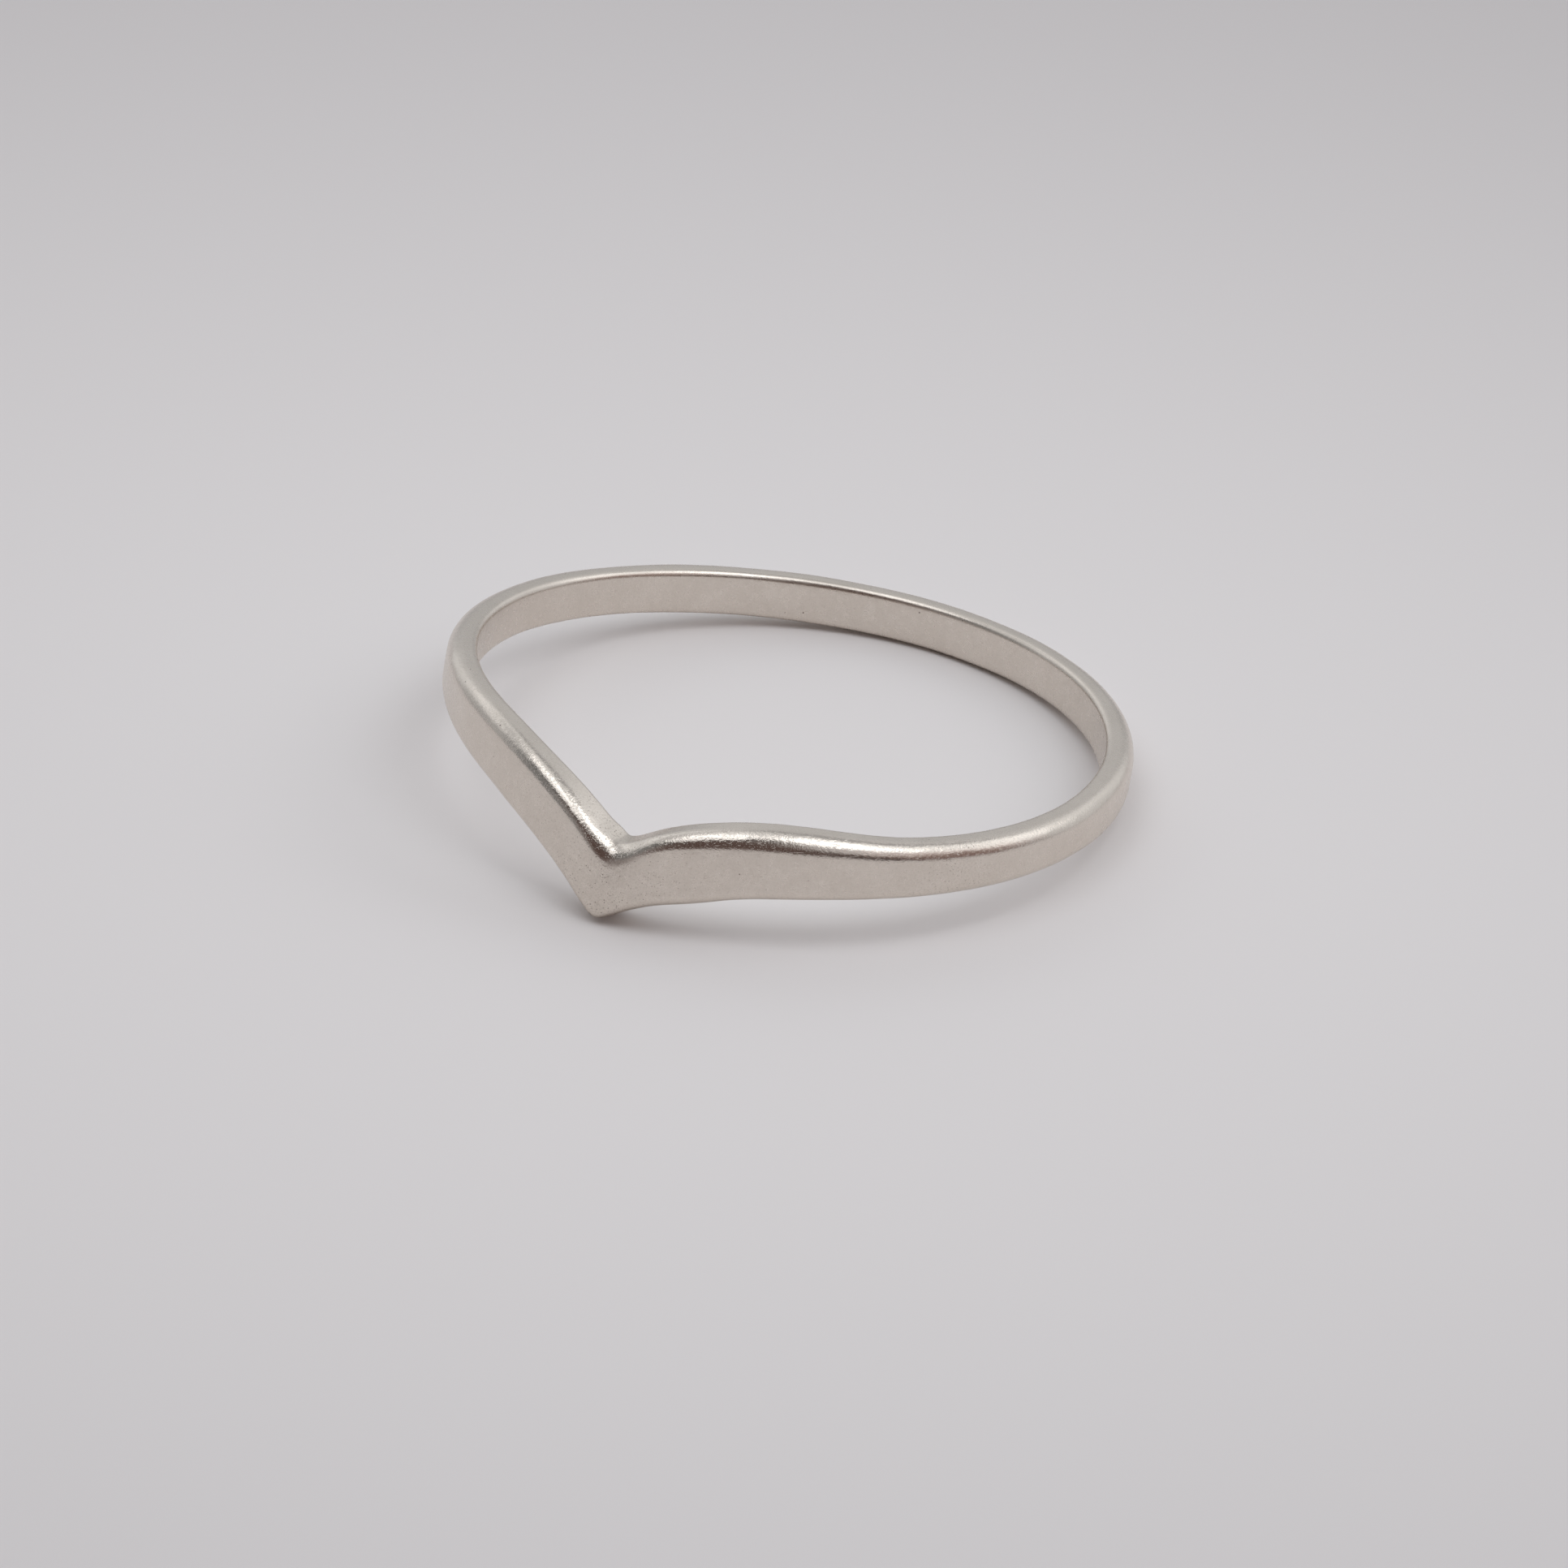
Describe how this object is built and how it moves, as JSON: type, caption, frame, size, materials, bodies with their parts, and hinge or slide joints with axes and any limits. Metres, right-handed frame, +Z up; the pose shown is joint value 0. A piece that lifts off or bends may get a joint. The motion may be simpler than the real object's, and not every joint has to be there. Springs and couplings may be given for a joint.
{
  "type": "chevron ring",
  "caption": "Slim satin silver chevron ring: a plain one-piece band with flat faces and soft edges that dips to a V at the front, lying on its side as set down.",
  "frame": {"origin": "on the surface that the ring lies on, under the middle of the ring's box", "axes": "+Z up from the surface, -Y towards the point of the V, +X to the right of a viewer who faces the V"},
  "size_m": [0.0186, 0.0192, 0.0038],
  "materials": {
    "satin_silver": "satin tumbled silver, finely pitted, with burnished outer edges"
  },
  "bodies": {
    "root": {"band": "satin_silver"}
  },
  "joints": []
}
